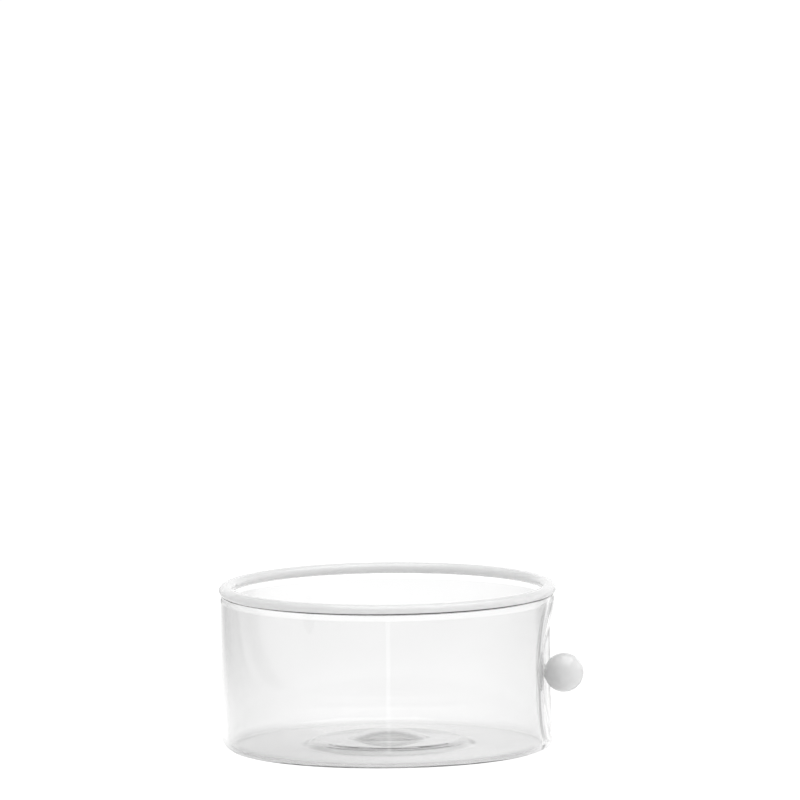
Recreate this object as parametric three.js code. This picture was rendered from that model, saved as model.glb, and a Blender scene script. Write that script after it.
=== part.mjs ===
// Oyster bowl: a clear glass bowl with a white glass bead round its rim and a white glass ball
// welded into a dimple pressed in its side. Millimetres, +Z up, the ball towards +X.
// The origin is under the middle of the whole object, on the table.
import * as THREE from 'three';

// Driving dimensions of the bowl
const rimDiameter = 120; // over the white bead
const bowlHeight = 58.8; // table to the top of the bead
const wallThickness = 2;
const baseThickness = 1.6;
const outerCornerRadius = 5; // where the wall turns into the base
const innerFilletRadius = 3.2;
const kickDiameter = 63; // middle of the base, which is pushed up off the table
const kickSlopeWidth = 5; // slope round its edge
const kickRise = 2;
const kickTipDiameter = 28; // dome in the middle of it
const kickTipRise = 3.2;

// Driving dimensions of the rim
const beadWidth = 5.2;
const beadHeight = 3.9; // of the whole oval, before its seat is taken off
const beadOverhang = 0.6; // past the outside of the wall
const lipDraw = 0.3; // the softened lip is drawn in this far under the bead
const collarHeight = 2.4; // over which it is drawn in

// Driving dimensions of the ball and its dimple
const ballDiameter = 14;
const ballHeight = 27; // its centre above the table
const ballStandoff = 0.7; // from the weld to the round of the ball
const weldDiameter = 5.2;
const weldRise = 1.6; // the ball hangs this far below the middle of its weld
const weldMargin = 0.4; // flat glass round the weld
const neckDiameter = 4.6;
const neckJoinAngle = THREE.MathUtils.degToRad(24); // on the ball, from its axis
const dimpleDepth = 4.5;
const dimpleWidth = 44;
const dimpleReachUp = 28; // from the ball's centre
const dimpleReachDown = 36; // as far as it would go with no base
const baseHoldStart = 1; // the stiff base keeps the dimple out below this height
const baseHoldEnd = 7; // and lets it reach full depth above this one

// Facets
const ringFacets = 72;
const flatColumns = 2; // facet columns from the dimple's middle to the edge of its flat
const tipSteps = 5;
const slopeSteps = 4;
const cornerSteps = 4;
const wallStepsBelow = 4;
const flatSteps = 2;
const wallStepsAbove = 6;
const collarSteps = 3;
const beadSteps = 14;
const ballFacets = 32;
const ballSteps = 13;
const neckSteps = 4;

// Sizes that follow from them
const rimRadius = rimDiameter / 2;
const wallRadius = rimRadius - beadOverhang;
const innerRadius = wallRadius - wallThickness;
const footRadius = wallRadius - outerCornerRadius;
const kickRadius = kickDiameter / 2;
const kickInnerRadius = kickRadius - kickSlopeWidth;
const kickTipRadius = kickTipDiameter / 2;
const lipRadius = wallRadius - lipDraw;
const beadRadius = rimRadius - beadWidth / 2;
const beadCenterHeight = bowlHeight - beadHeight / 2;
// Angle on the oval where it meets the lip's edge
const seatAngle = Math.acos((lipRadius - beadRadius) / (beadWidth / 2));
const lipHeight = beadCenterHeight - (beadHeight / 2) * Math.sin(seatAngle);
const ballRadius = ballDiameter / 2;
const weldRadius = weldDiameter / 2;
const weldPlane = wallRadius - dimpleDepth;
const flatHalf = weldRadius + weldRise + weldMargin;
const ballReach = weldPlane + ballStandoff + ballDiameter;
const axisOffset = (rimRadius - ballReach) / 2;

// Share of a rise or fall that is left at t, from 1 at t = 0 to 0 at t = 1, level at both ends
function ease(t) {
  return 1 - THREE.MathUtils.smoothstep(t, 0, 1);
}

// Height of the pushed-up base over the flat it starts from
function kick(radius) {
  const slope = ease((radius - kickInnerRadius) / kickSlopeWidth);
  return kickRise * slope + kickTipRise * ease(radius / kickTipRadius);
}

// Points of an arc in the profile's plane, both ends included
function arc(centerRadius, centerHeight, radius, startAngle, endAngle, steps) {
  const points = [];
  for (let i = 0; i <= steps; i++) {
    const angle = THREE.MathUtils.lerp(startAngle, endAngle, i / steps);
    const x = centerRadius + radius * Math.cos(angle);
    const y = centerHeight + radius * Math.sin(angle);
    points.push(new THREE.Vector2(x, y));
  }
  return points;
}

// Heights that divide a stretch evenly, without its first end
function divide(from, to, steps) {
  return Array.from({ length: steps }, (_, i) => THREE.MathUtils.lerp(from, to, (i + 1) / steps));
}

// Heights up the wall from its lower end to the collar, with a row at each edge of the dimple's flat
function wallHeights(lowerEnd) {
  return [
    ...divide(lowerEnd, ballHeight - flatHalf, wallStepsBelow),
    ...divide(ballHeight - flatHalf, ballHeight + flatHalf, flatSteps),
    ...divide(ballHeight + flatHalf, lipHeight - collarHeight, wallStepsAbove),
  ];
}

// The collar's profile from the wall up to the edge of the lip
function collar(fromRadius, lipEdge) {
  return divide(0, 1, collarSteps).map((t) => {
    const radius = THREE.MathUtils.lerp(lipEdge, fromRadius, ease(t));
    return new THREE.Vector2(radius, lipHeight - collarHeight * (1 - t));
  });
}

// A lathe turned about +Z, with its first facet column towards +X
function turn(profile, facets) {
  const geometry = new THREE.LatheGeometry(profile, facets, Math.PI / 2);
  return geometry.rotateX(Math.PI / 2);
}

// Depth of the dimple, as a share of its full depth, at a place on the wall; the flat base has none
function dimpleShare(y, z, radius) {
  const rise = z - ballHeight;
  const reach = rise > 0 ? dimpleReachUp : dimpleReachDown;
  const across = Math.max(0, Math.abs(y) - flatHalf) / (dimpleWidth / 2 - flatHalf);
  const along = Math.max(0, Math.abs(rise) - flatHalf) / (reach - flatHalf);
  const freed = THREE.MathUtils.clamp((z - baseHoldStart) / (baseHoldEnd - baseHoldStart), 0, 1);
  const onWall = THREE.MathUtils.smoothstep(radius, innerRadius - innerFilletRadius, innerRadius);
  return onWall * ease(Math.hypot(across, along)) * (1 - (1 - freed) ** 2);
}

// Crowds the facet columns towards the dimple, so that one falls on each edge of its flat,
// and presses the wall in to a flat face for the weld
function pressDimple(geometry) {
  const columnAngle = (flatColumns * 2 * Math.PI) / ringFacets;
  const flatAngle = Math.asin(flatHalf / wallRadius);
  const crowding = (columnAngle - flatAngle) / Math.sin(columnAngle);
  const place = geometry.attributes.position;
  for (let i = 0; i < place.count; i++) {
    const radius = Math.hypot(place.getX(i), place.getY(i));
    const evenAngle = Math.atan2(place.getY(i), place.getX(i));
    const angle = evenAngle - crowding * Math.sin(evenAngle);
    const x = radius * Math.cos(angle);
    const y = radius * Math.sin(angle);
    const z = place.getZ(i);
    const share = x > 0 ? dimpleShare(y, z, radius) : 0;
    place.setXY(i, x - share * Math.max(0, dimpleDepth - (radius - x)), y);
  }
  return geometry;
}

// The glass bowl in one profile: out under the base, up the wall, over the lip and back in over the base
function bowlGeometry() {
  const kickRadii = [
    ...divide(0, kickTipRadius, tipSteps),
    kickInnerRadius,
    ...divide(kickInnerRadius, kickRadius, slopeSteps),
  ];
  const underside = [0, ...kickRadii].map((radius) => new THREE.Vector2(radius, kick(radius)));
  const cornerHeight = outerCornerRadius;
  const corner = arc(footRadius, cornerHeight, outerCornerRadius, -Math.PI / 2, 0, cornerSteps);
  const outside = wallHeights(cornerHeight).map((z) => new THREE.Vector2(wallRadius, z));
  const outerCollar = collar(wallRadius, lipRadius);
  const innerCollar = collar(innerRadius, lipRadius - wallThickness).reverse();
  const filletHeight = baseThickness + innerFilletRadius;
  const filletCenter = innerRadius - innerFilletRadius;
  const inside = wallHeights(filletHeight).map((z) => new THREE.Vector2(innerRadius, z)).reverse();
  const fillet = arc(filletCenter, filletHeight, innerFilletRadius, 0, -Math.PI / 2, cornerSteps);
  const floor = [0, ...kickRadii].map((radius) => new THREE.Vector2(radius, baseThickness + kick(radius)));
  const profile = [
    ...underside,
    ...corner,
    ...outside,
    ...outerCollar,
    ...innerCollar,
    ...inside,
    ...fillet,
    ...floor.reverse(),
  ];
  return pressDimple(turn(profile, ringFacets));
}

// The bead: an oval ring whose underside is flat where it is fused to the lip
function beadGeometry() {
  const oval = [];
  for (let i = 0; i <= beadSteps; i++) {
    const angle = THREE.MathUtils.lerp(-seatAngle, Math.PI + seatAngle, i / beadSteps);
    const radius = beadRadius + (beadWidth / 2) * Math.cos(angle);
    const height = beadCenterHeight + (beadHeight / 2) * Math.sin(angle);
    oval.push(new THREE.Vector2(radius, height));
  }
  oval[0].y = lipHeight;
  oval[beadSteps].y = lipHeight;
  return turn([...oval, oval[0]], ringFacets);
}

// The ball on its short neck, turned about its own axis, laid along +X with its weld in the dimple's flat,
// and sagged a little on the neck
function ballGeometry() {
  const center = ballStandoff + ballRadius;
  const joinRadius = ballRadius * Math.sin(neckJoinAngle);
  const joinHeight = center - ballRadius * Math.cos(neckJoinAngle);
  const waistHeight = joinHeight - (joinRadius - neckDiameter / 2) * Math.tan(neckJoinAngle);
  const neck = new THREE.QuadraticBezierCurve(
    new THREE.Vector2(weldRadius, 0),
    new THREE.Vector2(neckDiameter / 2, waistHeight),
    new THREE.Vector2(joinRadius, joinHeight),
  );
  const round = arc(0, center, ballRadius, neckJoinAngle - Math.PI / 2, Math.PI / 2, ballSteps);
  round[ballSteps].x = 0;
  const profile = [new THREE.Vector2(0, 0), ...neck.getPoints(neckSteps), ...round.slice(1)];
  const geometry = new THREE.LatheGeometry(profile, ballFacets).rotateZ(-Math.PI / 2);
  const place = geometry.attributes.position;
  for (let i = 0; i < place.count; i++) {
    place.setZ(i, place.getZ(i) + weldRise * ease(place.getX(i) / joinHeight));
  }
  return geometry.translate(weldPlane, 0, ballHeight);
}

const clearGlass = new THREE.MeshStandardMaterial({
  color: 0xeef3f2,
  roughness: 0.03,
  metalness: 0,
  transparent: true,
  opacity: 0.3,
});
const whiteGlass = new THREE.MeshStandardMaterial({ color: 0xf1f1ee, roughness: 0.12, metalness: 0 });
const ballGlass = whiteGlass.clone();

function piece(name, geometry, material) {
  const mesh = new THREE.Mesh(geometry, material);
  mesh.name = name;
  return mesh;
}

const oysterBowl = new THREE.Group();
oysterBowl.add(piece('glass_bowl', bowlGeometry(), clearGlass));
oysterBowl.add(piece('rim_bead', beadGeometry(), whiteGlass));
oysterBowl.add(piece('ball', ballGeometry(), ballGlass));
oysterBowl.position.x = axisOffset;

const part = new THREE.Group();
part.add(oysterBowl);

export default part;
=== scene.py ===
import math

import bpy
from mathutils import Matrix, Vector


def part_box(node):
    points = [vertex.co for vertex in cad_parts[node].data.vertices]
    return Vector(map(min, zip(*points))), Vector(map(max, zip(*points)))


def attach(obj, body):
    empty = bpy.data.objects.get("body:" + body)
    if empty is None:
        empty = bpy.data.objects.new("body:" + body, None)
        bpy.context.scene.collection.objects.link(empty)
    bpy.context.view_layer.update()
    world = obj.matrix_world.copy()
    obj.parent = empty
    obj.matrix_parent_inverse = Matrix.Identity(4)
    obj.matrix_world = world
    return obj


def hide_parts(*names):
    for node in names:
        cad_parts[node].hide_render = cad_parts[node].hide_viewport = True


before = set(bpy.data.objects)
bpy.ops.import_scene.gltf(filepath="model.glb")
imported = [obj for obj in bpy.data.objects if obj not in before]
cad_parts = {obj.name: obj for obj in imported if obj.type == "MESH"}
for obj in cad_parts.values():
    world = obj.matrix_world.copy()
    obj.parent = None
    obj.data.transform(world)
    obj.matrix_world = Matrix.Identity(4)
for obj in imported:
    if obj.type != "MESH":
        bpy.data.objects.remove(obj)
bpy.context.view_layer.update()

mm = 0.001
mergeDistance = 0.002 * mm  # points nearer than this become one

beadLow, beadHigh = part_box("rim_bead")
ballLow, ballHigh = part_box("ball")
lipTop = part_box("glass_bowl")[1].z  # where the bead is fused to the clear glass
axisX = (beadLow.x + beadHigh.x) / 2  # the bowl's own axis, which the ball pushes off the middle
rimRadius = (beadHigh.x - beadLow.x) / 2
rimTop = beadHigh.z
ballZ = (ballLow.z + ballHigh.z) / 2
ballRadius = (ballHigh.z - ballLow.z) / 2
weldX = ballLow.x - axisX  # the flat that the ball is welded to, from the axis
print("frame loaded: axis at", round(axisX / mm, 2), "mm, rim radius", round(rimRadius / mm, 2), "mm")


def deselectAll():
    if bpy.context.mode != "OBJECT":
        bpy.ops.object.mode_set(mode="OBJECT")
    bpy.ops.object.select_all(action="DESELECT")


def smooth(t):  # 0 to 1 with level ends
    t = min(max(t, 0.0), 1.0)
    return t * t * (3 - 2 * t)


def spread(first, last, count):  # count places after first, ending at last
    return [first + (last - first) * (i + 1) / count for i in range(count)]


def arcPoints(centreR, centreZ, radius, startDegrees, endDegrees, count):  # both ends included
    sweep = endDegrees - startDegrees
    angles = [math.radians(startDegrees + sweep * i / count) for i in range(count + 1)]
    return [(centreR + radius * math.cos(a), centreZ + radius * math.sin(a)) for a in angles]


def startOutline(name):  # one vertex to draw a half section from, as on a glass lathe
    deselectAll()
    bpy.ops.mesh.primitive_plane_add(size=mm, location=(0, 0, 0))
    piece = bpy.context.object
    piece.name = name
    piece.data.name = name
    bpy.ops.object.mode_set(mode="EDIT")
    bpy.ops.mesh.select_all(action="SELECT")
    bpy.ops.mesh.merge(type="CENTER")
    return piece


def drawOutline(points):  # points are (radius, height) in mm
    places = [Vector((radius * mm, 0, height * mm)) for radius, height in points]
    bpy.ops.transform.translate(value=places[0])
    for here, there in zip(places, places[1:]):
        bpy.ops.mesh.extrude_vertices_move(TRANSFORM_OT_translate={"value": there - here})


def mergeDoubles():
    bpy.ops.mesh.select_all(action="SELECT")
    bpy.ops.mesh.remove_doubles(threshold=mergeDistance)


def spinOutline(steps):  # the half section turned into a closed skin
    mergeDoubles()
    bpy.ops.mesh.spin(steps=steps, angle=math.tau, center=(0, 0, 0), axis=(0, 0, 1))
    mergeDoubles()
    bpy.ops.mesh.normals_make_consistent(inside=False)
    bpy.ops.object.mode_set(mode="OBJECT")


def push(piece, group, distance):  # moves the group's vertices along X, each by its own share
    shift = piece.modifiers.new(group.name, "DISPLACE")
    shift.direction = "X"
    shift.mid_level = 0.0
    shift.strength = distance
    shift.vertex_group = group.name
    bpy.ops.object.modifier_apply(modifier=shift.name)


def finishPiece(piece, node, material):
    deselectAll()
    bpy.context.view_layer.objects.active = piece
    piece.select_set(True)
    bpy.ops.object.transform_apply(location=True, rotation=True, scale=True)
    bpy.ops.object.shade_smooth()
    piece.data.materials.clear()
    piece.data.materials.append(material)
    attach(piece, "root")
    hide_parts(node)
    print(piece.name, "done:", len(piece.data.polygons), "faces")


bowlSize = {  # mm
    "wallOutside": 59.4, "wall": 2.0, "base": 1.6, "outerCorner": 5.0, "innerFillet": 3.2,
    "kick": 31.2, "kickInner": 25.4, "kickRise": 2.0,  # radii and rise of the pushed-up base
    "kickTip": 14.0, "kickTipRise": 3.2,  # and of the dome in its middle
    "lipInside": 57.1, "lipOutside": 59.1, "collar": 2.4, "lipSunk": 0.2,  # sunk into the bead
    "flat": 4.6, "dimpleHalfWidth": 22.0, "dimpleUp": 28.0, "dimpleDown": 36.0,
    "holdStart": 1.0, "holdEnd": 7.0,  # heights between which the stiff base lets go of the dimple
    "spinSteps": 192, "wallRows": 40, "bendRows": 14, "kickRows": 40,
}


def kickHeight(radius):
    size = bowlSize
    broad = 1 - smooth((radius - size["kickInner"]) / (size["kick"] - size["kickInner"]))
    tip = max(0.0, 1 - (radius / size["kickTip"]) ** 2)
    return size["kickRise"] * broad + size["kickTipRise"] * tip


def bowlOutline():  # in mm, out under the base, up the wall, over the lip and back in
    size = bowlSize
    corner, fillet, sunk = size["outerCorner"], size["innerFillet"], size["lipSunk"]
    outside = size["wallOutside"]
    inside = outside - size["wall"]
    lip = lipTop / mm
    collarFoot = lip - size["collar"]
    filletTop = size["base"] + fillet
    drawnIn = size["lipOutside"] - outside
    widened = inside - size["lipInside"]
    radii = [0.0] + spread(0, size["kick"], size["kickRows"])
    steps = [0.0] + spread(0, 1, size["bendRows"])
    points = [(r, kickHeight(r)) for r in radii]
    points += arcPoints(outside - corner, corner, corner, -90, 0, size["bendRows"])
    points += [(outside, z) for z in spread(corner, collarFoot, size["wallRows"])]
    points += [(outside + drawnIn * smooth(t), collarFoot + size["collar"] * t) for t in steps[1:]]
    points += [(size["lipOutside"] - sunk, lip + sunk), (size["lipInside"] + sunk, lip + sunk)]
    points += [(size["lipInside"] + widened * smooth(t), lip - size["collar"] * t) for t in steps]
    points += [(inside, z) for z in spread(collarFoot, filletTop, size["wallRows"])]
    points += arcPoints(inside - fillet, filletTop, fillet, 0, -90, size["bendRows"])[1:]
    points += [(r, size["base"] + kickHeight(r)) for r in reversed(radii)]
    return points


def dimpleShare(radius, y, z):  # how far in the wall is pressed, as a share of the full depth
    size = bowlSize
    inside = size["wallOutside"] - size["wall"]
    onWall = smooth((radius - inside) / size["innerFillet"] + 1)  # none on the base
    rise = z - ballZ / mm
    reach = size["dimpleUp"] if rise > 0 else size["dimpleDown"]
    across = max(0.0, abs(y) - size["flat"]) / (size["dimpleHalfWidth"] - size["flat"])
    along = max(0.0, abs(rise) - size["flat"]) / (reach - size["flat"])
    freed = min(max((z - size["holdStart"]) / (size["holdEnd"] - size["holdStart"]), 0.0), 1.0)
    return onWall * (1 - smooth(math.hypot(across, along))) * (1 - (1 - freed) ** 2)


def pressDimple(piece):  # a flat tool pushed in along the ball's axis
    depth = bowlSize["wallOutside"] * mm - weldX
    group = piece.vertex_groups.new(name="dimple")
    for vertex in piece.data.vertices:
        x, y, z = vertex.co
        if x > 0:
            radius = math.hypot(x, y)
            share = dimpleShare(radius / mm, y / mm, z / mm) * (1 - (radius - x) / depth)
            if share > 0:
                group.add([vertex.index], share, "REPLACE")
    push(piece, group, -depth)


def makeBowl(material):
    piece = startOutline("bowlGlass")
    drawOutline(bowlOutline())
    spinOutline(bowlSize["spinSteps"])
    pressDimple(piece)
    piece.location.x = axisX
    finishPiece(piece, "glass_bowl", material)


beadSize = {"halfWidth": 2.6, "halfHeight": 1.95, "spinSteps": 192, "ovalPoints": 40}  # mm


def makeBead(material):
    width, height, count = beadSize["halfWidth"], beadSize["halfHeight"], beadSize["ovalPoints"]
    centreR = rimRadius / mm - width
    centreZ = rimTop / mm - height
    turns = [math.tau * i / count for i in range(count)]
    oval = [(centreR + width * math.cos(a), centreZ + height * math.sin(a)) for a in turns]
    piece = startOutline("rimBead")
    drawOutline(oval + oval[:1])
    spinOutline(beadSize["spinSteps"])
    piece.location.x = axisX
    finishPiece(piece, "rim_bead", material)


ballSize = {  # mm, and degrees from the ball's axis to where the neck joins it
    "weld": 2.6, "weldRise": 1.6, "neck": 2.3, "join": 24.0, "sunk": 0.1,
    "spinSteps": 96, "neckRows": 12, "ballRows": 48,
}


def sagBall(piece, joinZ):  # its neck stays up at the weld while the ball sinks in the flame
    group = piece.vertex_groups.new(name="neck")
    for vertex in piece.data.vertices:
        share = 1 - smooth(vertex.co.z / joinZ)
        if share > 0:
            group.add([vertex.index], share, "REPLACE")
    push(piece, group, -ballSize["weldRise"] * mm)  # -X is up once the ball's axis lies along +X


def makeBall(material):
    weld, waist, sunk = ballSize["weld"], ballSize["neck"], ballSize["sunk"]
    radius = ballRadius / mm
    standoff = (ballHigh.x - axisX - weldX) / mm - radius  # ball's centre from the weld
    join = math.radians(ballSize["join"])
    joinR, joinZ = radius * math.sin(join), standoff - radius * math.cos(join)
    waistZ = joinZ - (joinR - waist) * math.tan(join)
    outline = [(0, -sunk), (weld - sunk, -sunk), (weld, 0)]
    for t in spread(0, 1, ballSize["neckRows"]):  # a curve that leaves the ball along its own slope
        a, b, c = (1 - t) ** 2, 2 * t * (1 - t), t * t
        outline.append((a * weld + b * waist + c * joinR, b * waistZ + c * joinZ))
    outline += arcPoints(0, standoff, radius, ballSize["join"] - 90, 90, ballSize["ballRows"])[1:]
    piece = startOutline("ball_on_neck")
    drawOutline(outline)
    spinOutline(ballSize["spinSteps"])
    sagBall(piece, joinZ * mm)
    piece.rotation_euler = (0, math.pi / 2, 0)  # its axis along +X
    piece.location = (axisX + weldX, 0, ballZ)
    finishPiece(piece, "ball", material)


def linear(hexColour):  # sRGB hex to the linear colour that the shaders take
    channels = [int(hexColour[i:i + 2], 16) / 255 for i in (1, 3, 5)]
    return tuple(c / 12.92 if c <= 0.04045 else ((c + 0.055) / 1.055) ** 2.4 for c in channels) + (1.0,)


def addNode(tree, kind, settings=None, values=None, links=None):
    node = tree.nodes.new(kind)
    for name, value in (settings or {}).items():
        setattr(node, name, value)
    for socket, value in (values or {}).items():
        node.inputs[socket].default_value = value
    for socket, source in (links or {}).items():
        tree.links.new(source, node.inputs[socket])
    return node


def newMaterial(name):
    material = bpy.data.materials.new(name)
    material.use_nodes = True
    material.node_tree.nodes.clear()
    return material, material.node_tree


levelEnds = {"interpolation_type": "SMOOTHSTEP"}  # settings that many nodes share
times = {"operation": "MULTIPLY"}
timesPlus = {"operation": "MULTIPLY_ADD"}
minus = {"operation": "SUBTRACT"}
larger = {"operation": "MAXIMUM"}
unsigned = {"operation": "ABSOLUTE"}
length = {"operation": "LENGTH"}
farFrom = {"operation": "DISTANCE"}
mixColour = {"data_type": "RGBA"}
mixNumber = {"data_type": "FLOAT"}
colourA, colourB, colourOut = 6, 7, 2  # sockets of a Mix node, whose names repeat
numberA, numberB = 2, 3

# clear borosilicate tube glass, drawn and flame worked: faint grey that deepens where the way through
# the wall is long, left untinted in a band just under the bead as a painted highlight, and slow waves from
# the flame
clearLook = {  # mm
    "faceOn": "#F7F7F7", "edgeOn": "#EBEBEB", "edgeOnFrom": 0.0, "edgeOnTo": 0.6,
    "lip": "#FFFFFF", "lipFrom": 2.6, "lipTo": 2.2,  # painted highlight band, below the top of the clear glass
    "shadow": "#FCFCFC", "ior": 1.473, "roughness": 0.003,
    "wave": 26.0, "waveHeight": 0.02, "waveDetail": 1.0,
    "cord": 7.0, "cordShare": 0.12, "cordDetail": 2.0,
}


def flameWorkedClearGlass():
    look = clearLook
    material, tree = newMaterial("borosilicate_glass_flame_worked")
    place = addNode(tree, "ShaderNodeTexCoord").outputs["Object"]
    slant = addNode(tree, "ShaderNodeLayerWeight").outputs["Facing"]
    cords = addNode(tree, "ShaderNodeTexNoise",
                    values={"Scale": 1 / (look["cord"] * mm), "Detail": look["cordDetail"]},
                    links={"Vector": place})
    longWay = addNode(tree, "ShaderNodeMapRange",
                      values={"From Min": look["edgeOnFrom"], "From Max": look["edgeOnTo"]},
                      links={"Value": slant})
    streaked = addNode(tree, "ShaderNodeMath", {**timesPlus, "use_clamp": True}, {1: look["cordShare"]},
                       {0: cords.outputs["Fac"], 2: longWay.outputs["Result"]})
    tint = addNode(tree, "ShaderNodeMix", mixColour,
                   {colourA: linear(look["faceOn"]), colourB: linear(look["edgeOn"])},
                   {"Factor": streaked.outputs[0]})
    height = addNode(tree, "ShaderNodeSeparateXYZ", links={0: place}).outputs["Z"]
    # painted highlight: the glass is left untinted just under the bead, so that a band there shows brighter
    inHighlightBand = addNode(tree, "ShaderNodeMapRange", levelEnds,
                      {"From Min": lipTop - look["lipFrom"] * mm, "From Max": lipTop - look["lipTo"] * mm},
                      {"Value": height})
    body = addNode(tree, "ShaderNodeMix", mixColour, {colourB: linear(look["lip"])},
                   {"Factor": inHighlightBand.outputs["Result"], colourA: tint.outputs[colourOut]})
    waves = addNode(tree, "ShaderNodeTexNoise",
                    values={"Scale": 1 / (look["wave"] * mm), "Detail": look["waveDetail"]},
                    links={"Vector": place})
    bump = addNode(tree, "ShaderNodeBump", values={"Strength": 1.0, "Distance": look["waveHeight"] * mm},
                   links={"Height": waves.outputs["Fac"]})
    glass = addNode(tree, "ShaderNodeBsdfPrincipled",
                    values={"Transmission Weight": 1.0, "IOR": look["ior"], "Roughness": look["roughness"]},
                    links={"Base Color": body.outputs[colourOut], "Normal": bump.outputs["Normal"]})
    passed = addNode(tree, "ShaderNodeBsdfTransparent", values={"Color": linear(look["shadow"])})
    shading = addNode(tree, "ShaderNodeLightPath").outputs["Is Shadow Ray"]
    both = addNode(tree, "ShaderNodeMixShader",
                   links={0: shading, 1: glass.outputs["BSDF"], 2: passed.outputs["BSDF"]})
    addNode(tree, "ShaderNodeOutputMaterial", links={"Surface": both.outputs["Shader"]})
    return material


# white opal glass, flame polished: dense milky body with faint clouds under a wet gloss, and a dark line
# painted as shade where it is fused to the clear glass
opalLook = {  # mm; the darkest grey is painted shade for the joint with the clear glass
    "pale": "#F5F5F5", "cloud": "#EFEFEF", "shadeLine": "#404040", "ior": 1.5, "depth": 5.0,
    "roughnessLow": 0.07, "roughnessHigh": 0.13, "cloudSize": 5.0, "cloudDetail": 3.0,
}
beadShadeLine = {  # painted shade line round the joint, off centre towards the front right and tilted
    "centre": (axisX + 0.25 * mm, -0.1 * mm, lipTop), "axis": (-0.0035, 0.001, 1),
    "radius": bowlSize["lipOutside"] * mm, "width": 0.55 * mm,
}
# painted shade line round the weld of the ball
ballShadeLine = {
    "centre": (axisX + weldX, 0, ballZ + ballSize["weldRise"] * mm), "axis": (1, 0, 0),
    "radius": ballSize["weld"] * mm, "width": 0.45 * mm,
}


def fromShadeLine(tree, place, shadeLine):  # distance from the circle where the piece meets the clear glass, round which the shade line is painted
    across = [1 - share for share in shadeLine["axis"]]
    away = addNode(tree, "ShaderNodeVectorMath", minus, {1: shadeLine["centre"]}, {0: place}).outputs["Vector"]
    along = addNode(tree, "ShaderNodeVectorMath", {"operation": "DOT_PRODUCT"}, {1: shadeLine["axis"]}, {0: away})
    flat = addNode(tree, "ShaderNodeVectorMath", times, {1: across}, {0: away})
    radius = addNode(tree, "ShaderNodeVectorMath", length, links={0: flat.outputs["Vector"]})
    out = addNode(tree, "ShaderNodeMath", minus, {1: shadeLine["radius"]}, {0: radius.outputs["Value"]})
    section = addNode(tree, "ShaderNodeCombineXYZ", links={0: out.outputs[0], 1: along.outputs["Value"]})
    distance = addNode(tree, "ShaderNodeVectorMath", length, links={0: section.outputs["Vector"]})
    return distance.outputs["Value"]


def flamePolishedOpalGlass(name, shadeLine):
    look = opalLook
    material, tree = newMaterial(name)
    place = addNode(tree, "ShaderNodeTexCoord").outputs["Object"]
    clouds = addNode(tree, "ShaderNodeTexNoise",
                     values={"Scale": 1 / (look["cloudSize"] * mm), "Detail": look["cloudDetail"]},
                     links={"Vector": place}).outputs["Fac"]
    milk = addNode(tree, "ShaderNodeMix", mixColour,
                   {colourA: linear(look["pale"]), colourB: linear(look["cloud"])}, {"Factor": clouds})
    # painted shade: a dark line where the piece meets the clear glass
    onShadeLine = addNode(tree, "ShaderNodeMapRange", levelEnds,
                     {"From Min": shadeLine["width"] / 2, "From Max": shadeLine["width"], "To Min": 1.0, "To Max": 0.0},
                     {"Value": fromShadeLine(tree, place, shadeLine)})
    body = addNode(tree, "ShaderNodeMix", mixColour, {colourB: linear(look["shadeLine"])},
                   {"Factor": onShadeLine.outputs["Result"], colourA: milk.outputs[colourOut]})
    gloss = addNode(tree, "ShaderNodeMapRange",
                    values={"To Min": look["roughnessLow"], "To Max": look["roughnessHigh"]},
                    links={"Value": clouds})
    opal = addNode(tree, "ShaderNodeBsdfPrincipled",
                   values={"IOR": look["ior"], "Subsurface Weight": 1.0,
                           "Subsurface Scale": look["depth"] * mm,
                           "Subsurface Radius": (1.0, 1.0, 1.0)},  # all colours sink in alike
                   links={"Base Color": body.outputs[colourOut], "Roughness": gloss.outputs["Result"]})
    addNode(tree, "ShaderNodeOutputMaterial", links={"Surface": opal.outputs["BSDF"]})
    return material


makeBowl(flameWorkedClearGlass())
makeBead(flamePolishedOpalGlass("opal_glass_rod_flame_polished", beadShadeLine))
makeBall(flamePolishedOpalGlass("opal_glass_ball_flame_polished", ballShadeLine))
print("pieces made")

floorLook = {  # metres from the frame's origin, radians, and shares of white
    "width": 60.0, "gap": 0.00003, "paper": "#F2F2F2", "white": 0.85, "glow": 1.18,
    # painted contact shadow under the bowl and a painted dark ring at its edge, both seen only through the
    # glass
    "underPlace": (-0.027, -0.012, 0), "underFrom": 0.0, "underTo": 0.075, "underWhite": 0.12,
    "ring": 0.0575, "ringWidth": 0.009, "ringShare": 0.08, "ringFadeFrom": -0.035, "ringFadeTo": 0.0,
    # painted light and shade round the bowl, seen only through the glass
    "leftFrom": -0.08, "leftTo": -0.25, "leftShare": 0.6,
    "frontFrom": -0.12, "frontTo": -0.4, "frontShare": 0.25,
    "backFrom": 0.07, "backTo": 0.25, "nearShare": 1.04, "backShare": 1.0,
    "wedgeX": 0.045,
    "wedges": [  # painted dark stretches on the floor behind to the right, seen only in the glass, which draw the two edges of the dimple
        {"bearing": 0.72, "core": 0.1, "edge": 0.27, "dark": 0.6, "start": 0.0, "full": 0.04},
        {"bearing": 0.25, "core": 0.03, "edge": 0.1, "dark": 0.55, "start": 0.06, "full": 0.2},
    ],
}


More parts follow.
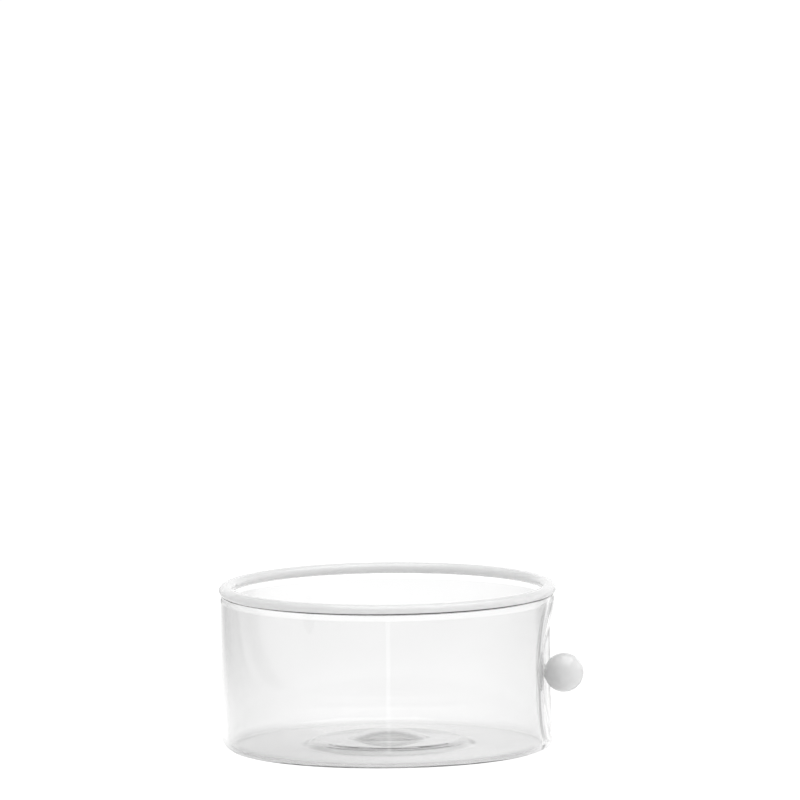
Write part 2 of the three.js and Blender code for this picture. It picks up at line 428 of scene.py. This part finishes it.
def paintedFloorShade(tree, place):  # painted light and shade on the floor round the bowl, as the glass sees it: darker to the left, to the front and in wedges behind to the right, a little brighter near than far behind
    look = floorLook
    x, y = place.outputs["X"], place.outputs["Y"]
    left = addNode(tree, "ShaderNodeMapRange", levelEnds,
                   {"From Min": look["leftTo"], "From Max": look["leftFrom"],
                    "To Min": look["leftShare"], "To Max": 1.0}, {"Value": x})
    front = addNode(tree, "ShaderNodeMapRange", levelEnds,
                    {"From Min": look["frontTo"], "From Max": look["frontFrom"],
                     "To Min": look["frontShare"], "To Max": 1.0}, {"Value": y})
    # painted pool of light: a little brighter near the bowl than far behind
    back = addNode(tree, "ShaderNodeMapRange",
                   values={"From Min": look["backFrom"], "From Max": look["backTo"],
                           "To Min": look["nearShare"], "To Max": look["backShare"]}, links={"Value": y})
    ends = addNode(tree, "ShaderNodeMath", times,
                   links={0: front.outputs["Result"], 1: back.outputs["Result"]})
    share = addNode(tree, "ShaderNodeMath", times, links={0: left.outputs["Result"], 1: ends.outputs[0]})
    past = addNode(tree, "ShaderNodeMath", minus, {1: look["wedgeX"]}, {0: x})
    bearing = addNode(tree, "ShaderNodeMath", {"operation": "ARCTAN2"}, links={0: past.outputs[0], 1: y})
    for wedge in look["wedges"]:
        off = addNode(tree, "ShaderNodeMath", minus, {1: wedge["bearing"]}, {0: bearing.outputs[0]})
        beside = addNode(tree, "ShaderNodeMath", unsigned, links={0: off.outputs[0]})
        inside = addNode(tree, "ShaderNodeMapRange", levelEnds,
                         {"From Min": wedge["core"], "From Max": wedge["edge"], "To Min": 1.0, "To Max": 0.0},
                         {"Value": beside.outputs[0]})
        depth = addNode(tree, "ShaderNodeMapRange", levelEnds,
                        {"From Min": wedge["start"], "From Max": wedge["full"], "To Max": wedge["dark"]},
                        {"Value": y})
        dark = addNode(tree, "ShaderNodeMath", times,
                       links={0: inside.outputs["Result"], 1: depth.outputs["Result"]})
        rest = addNode(tree, "ShaderNodeMath", minus, {0: 1.0}, {1: dark.outputs[0]})
        share = addNode(tree, "ShaderNodeMath", times, links={0: share.outputs[0], 1: rest.outputs[0]})
    return share.outputs[0]


def paintedContactShadow(tree, point, place):  # painted contact shadow: how white it is under the bowl, darkest where its near edge stands, with a painted dark ring under the rim's edge that fades out towards the back
    look = floorLook
    away = addNode(tree, "ShaderNodeVectorMath", farFrom, {1: look["underPlace"]}, {0: point})
    reach = addNode(tree, "ShaderNodeMapRange", levelEnds,
                    {"From Min": look["underFrom"], "From Max": look["underTo"],
                     "To Min": look["underWhite"], "To Max": look["white"]}, {"Value": away.outputs["Value"]})
    fromAxis = addNode(tree, "ShaderNodeVectorMath", farFrom, {1: (axisX, 0, 0)}, {0: point})
    fromRing = addNode(tree, "ShaderNodeMath", minus, {1: look["ring"]}, {0: fromAxis.outputs["Value"]})
    offRing = addNode(tree, "ShaderNodeMath", unsigned, links={0: fromRing.outputs[0]})
    # painted shadow ring under the rim's edge, at the front
    ring = addNode(tree, "ShaderNodeMapRange", levelEnds,
                   {"From Min": 0.0, "From Max": look["ringWidth"],
                    "To Min": look["ringShare"], "To Max": 1.0}, {"Value": offRing.outputs[0]})
    behind = addNode(tree, "ShaderNodeMapRange", levelEnds,
                     {"From Min": look["ringFadeFrom"], "From Max": look["ringFadeTo"]},
                     {"Value": place.outputs["Y"]})
    faded = addNode(tree, "ShaderNodeMath", larger,
                    links={0: ring.outputs["Result"], 1: behind.outputs["Result"]})
    share = addNode(tree, "ShaderNodeMath", times, links={0: reach.outputs["Result"], 1: faded.outputs[0]})
    return share.outputs[0]


def makeFloor():  # pale sheet that keeps the shadow and shows white to the lens, and through the glass a white with painted light and shade round and under the bowl
    look = floorLook
    deselectAll()
    bpy.ops.mesh.primitive_plane_add(size=look["width"], location=(0, 0, -look["gap"]))
    floor = bpy.context.object
    floor.name = "floor"
    material, tree = newMaterial("pale_paper_sweep")
    point = addNode(tree, "ShaderNodeTexCoord").outputs["Object"]
    place = addNode(tree, "ShaderNodeSeparateXYZ", links={0: point})
    path = addNode(tree, "ShaderNodeLightPath")
    lens = path.outputs["Is Camera Ray"]
    inGlass = addNode(tree, "ShaderNodeMath", larger,
                      links={0: path.outputs["Is Transmission Ray"], 1: path.outputs["Is Glossy Ray"]})
    around = addNode(tree, "ShaderNodeMath", times,
                     links={0: inGlass.outputs[0], 1: paintedFloorShade(tree, place)})
    seen = addNode(tree, "ShaderNodeMath", larger, links={0: lens, 1: around.outputs[0]})
    level = addNode(tree, "ShaderNodeMath", times, {1: look["glow"]}, {0: seen.outputs[0]})
    glow = addNode(tree, "ShaderNodeEmission", links={"Strength": level.outputs[0]})
    under = addNode(tree, "ShaderNodeMath", times,
                    links={0: inGlass.outputs[0], 1: paintedContactShadow(tree, point, place)})
    share = addNode(tree, "ShaderNodeMath", timesPlus, {1: look["white"]}, {0: lens, 2: under.outputs[0]})
    paper = addNode(tree, "ShaderNodeBsdfDiffuse", values={"Color": linear(look["paper"])})
    both = addNode(tree, "ShaderNodeMixShader",
                   links={0: share.outputs[0], 1: paper.outputs[0], 2: glow.outputs[0]})
    addNode(tree, "ShaderNodeOutputMaterial", links={"Surface": both.outputs[0]})
    floor.data.materials.append(material)


roomLook = {  # strengths, and the heights of a direction between which the ceiling starts
    "lens": 1.0, "side": 1.0, "leanRight": 0.05, "leanBack": 0.25,
    "ceiling": 0.45, "ceilingStart": 0.25, "ceilingEnd": 0.5,
}


def makeWorld():  # white to the lens; a room that is brighter to the right and behind, and dark overhead
    look = roomLook
    world = bpy.data.worlds.new("studio")
    bpy.context.scene.world = world
    world.use_nodes = True
    tree = world.node_tree
    tree.nodes.clear()
    path = addNode(tree, "ShaderNodeLightPath")
    direction = addNode(tree, "ShaderNodeTexCoord").outputs["Generated"]
    way = addNode(tree, "ShaderNodeSeparateXYZ", links={0: direction})
    overhead = addNode(tree, "ShaderNodeMapRange", levelEnds,
                       {"From Min": look["ceilingStart"], "From Max": look["ceilingEnd"]},
                       {"Value": way.outputs["Z"]})
    right = addNode(tree, "ShaderNodeMath", timesPlus, {1: look["leanRight"], 2: look["side"]},
                    {0: way.outputs["X"]})
    back = addNode(tree, "ShaderNodeMath", timesPlus, {1: look["leanBack"]},
                   {0: way.outputs["Y"], 2: right.outputs[0]})
    room = addNode(tree, "ShaderNodeMix", mixNumber, {numberB: look["ceiling"]},
                   {0: overhead.outputs["Result"], numberA: back.outputs[0]})
    seen = addNode(tree, "ShaderNodeMix", mixNumber, {numberB: look["lens"]},
                   {0: path.outputs["Is Camera Ray"], numberA: room.outputs[0]})
    sky = addNode(tree, "ShaderNodeBackground", links={"Strength": seen.outputs[0]})
    addNode(tree, "ShaderNodeOutputWorld", links={"Surface": sky.outputs[0]})


view = {  # the photograph's viewpoint in mm and degrees, and the rim's middle and half width in its pixels
    "distance": 12000.0, "azimuth": 4.5, "elevation": 7.6, "roll": -0.55,
    "rimPixel": (387.3, 588.95), "rimPixels": 168.7, "picture": 800, "sensor": 36.0,
    "clipEnd": 200.0,  # metres
}
azimuth = math.radians(view["azimuth"])

lamps = {  # metres and watts
    "softboxPlace": (0.36, -0.1, 1.5), "softboxWidth": 1.7, "softboxDepth": 1.85, "softboxPower": 17.8,
    "stripReach": 0.1, "stripHeight": 0.03, "stripWidth": 0.0035, "stripLength": 0.06, "stripPower": 0.0008,
    "bounces": 32,  # enough turns for light to find its way out of the glass
}


def makeLamp(name, place, target, width, height, power):  # a flat lamp out of the lens's sight
    deselectAll()
    bpy.ops.object.light_add(type="AREA", location=place)
    lamp = bpy.context.object
    lamp.name = name
    lamp.data.shape = "RECTANGLE"
    lamp.data.size = width
    lamp.data.size_y = height
    lamp.data.energy = power
    lamp.rotation_euler = (Vector(target) - Vector(place)).to_track_quat("-Z", "Y").to_euler()
    lamp.visible_camera = False
    lamp.visible_transmission = False
    return lamp


def makeLamps():  # a softbox overhead, and a strip before the bowl for the upright line in the glass
    softboxX, softboxY = lamps["softboxPlace"][:2]
    makeLamp("softbox", lamps["softboxPlace"], (softboxX, softboxY, 0),
             lamps["softboxWidth"], lamps["softboxDepth"], lamps["softboxPower"])
    reach = lamps["stripReach"]
    stripPlace = (axisX + reach * math.sin(azimuth), -reach * math.cos(azimuth), lamps["stripHeight"])
    strip = makeLamp("strip", stripPlace, (axisX, 0, rimTop / 2),
                     lamps["stripWidth"], lamps["stripLength"], lamps["stripPower"])
    strip.data.diffuse_factor = 0.0  # only its line in the glass
    for limit in ("max_bounces", "glossy_bounces", "transmission_bounces"):
        setattr(bpy.context.scene.cycles, limit, lamps["bounces"])


def makeCamera():  # aimed so that the rim's middle falls on its own pixel of the photograph
    rim = Vector((axisX, 0, rimTop - beadSize["halfHeight"] * mm))
    elevation = math.radians(view["elevation"])
    roll = math.radians(view["roll"])
    distance = view["distance"] * mm
    place = rim + distance * Vector((math.sin(azimuth), -math.cos(azimuth), math.tan(elevation)))
    reach = (place - rim).length
    focal = view["rimPixels"] * math.sqrt(reach ** 2 - rimRadius ** 2) / rimRadius  # in pixels
    half = view["picture"] / 2
    across, down = view["rimPixel"][0] - half, view["rimPixel"][1] - half
    flatAcross = across * math.cos(roll) + down * math.sin(roll)
    flatDown = down * math.cos(roll) - across * math.sin(roll)
    pitch = elevation - math.atan2(flatDown, focal)
    yaw = azimuth + math.atan2(flatAcross, focal)
    turn = Matrix.Rotation(yaw, 3, "Z") @ Matrix.Rotation(math.pi / 2 - pitch, 3, "X")
    deselectAll()
    bpy.ops.object.camera_add(location=place)
    camera = bpy.context.object
    camera.rotation_euler = (turn @ Matrix.Rotation(roll, 3, "Z")).to_euler()
    camera.data.sensor_width = view["sensor"]
    camera.data.lens = focal * view["sensor"] / view["picture"]
    camera.data.clip_end = view["clipEnd"]
    bpy.context.scene.camera = camera
    print("camera: lens", round(camera.data.lens, 1), "mm")


makeFloor()
makeWorld()
makeLamps()
print("studio lit")
makeCamera()
bpy.context.scene.view_settings.view_transform = "Standard"
